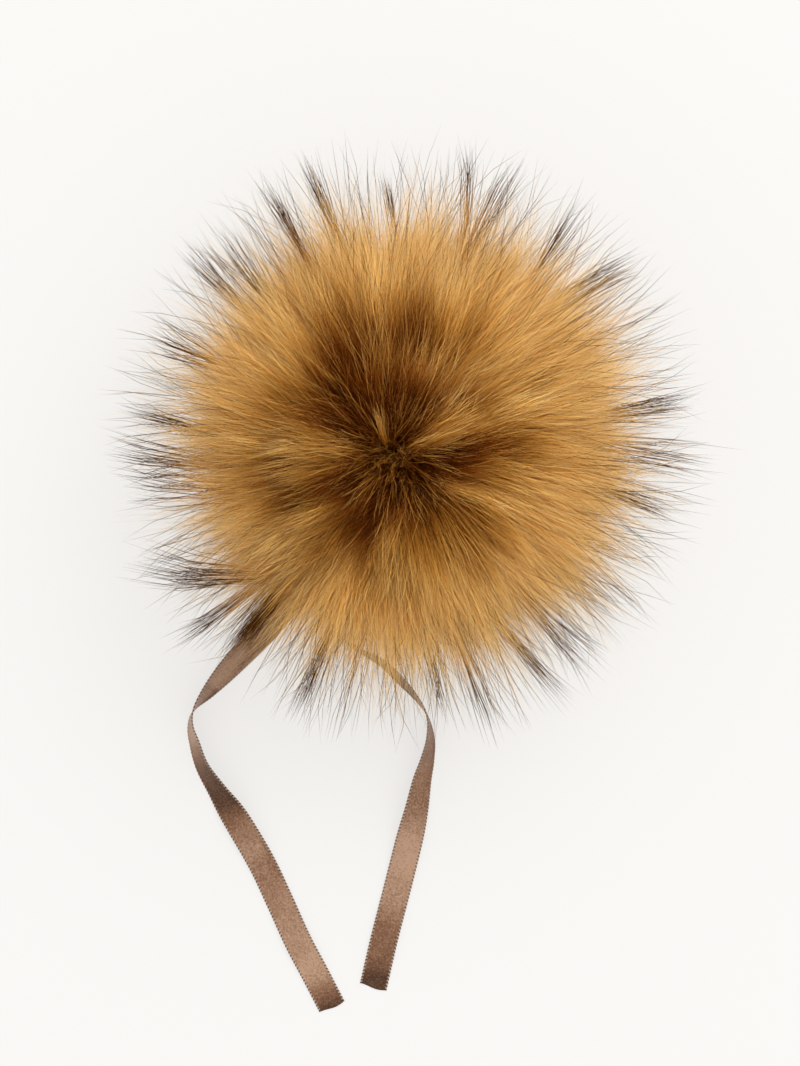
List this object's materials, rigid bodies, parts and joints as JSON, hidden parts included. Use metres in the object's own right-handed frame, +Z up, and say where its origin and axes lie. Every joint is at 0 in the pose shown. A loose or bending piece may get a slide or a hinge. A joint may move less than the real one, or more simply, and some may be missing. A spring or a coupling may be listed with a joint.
{
  "type": "pom pom",
  "caption": "Round long-pile faux fur pompom in camel with dark tips, combed out from its crown, with two narrow brown satin ribbon ties sewn under it.",
  "frame": {"origin": "on the surface that the pompom lies on, under the middle of its pile", "axes": "+Z up, through the crown side; -Y towards the loose ends of the ties; +X to the right as seen from above with the ties nearest"},
  "size_m": [0.1398, 0.2, 0.0952],
  "materials": {
    "pile": "long soft pile, dark at the roots, golden further out, black at the longest tips",
    "satin": "satin with picot edges"
  },
  "bodies": {
    "root": {"fur_pompom": "pile", "ribbon_tie_left": "satin", "ribbon_tie_right": "satin"}
  },
  "joints": []
}
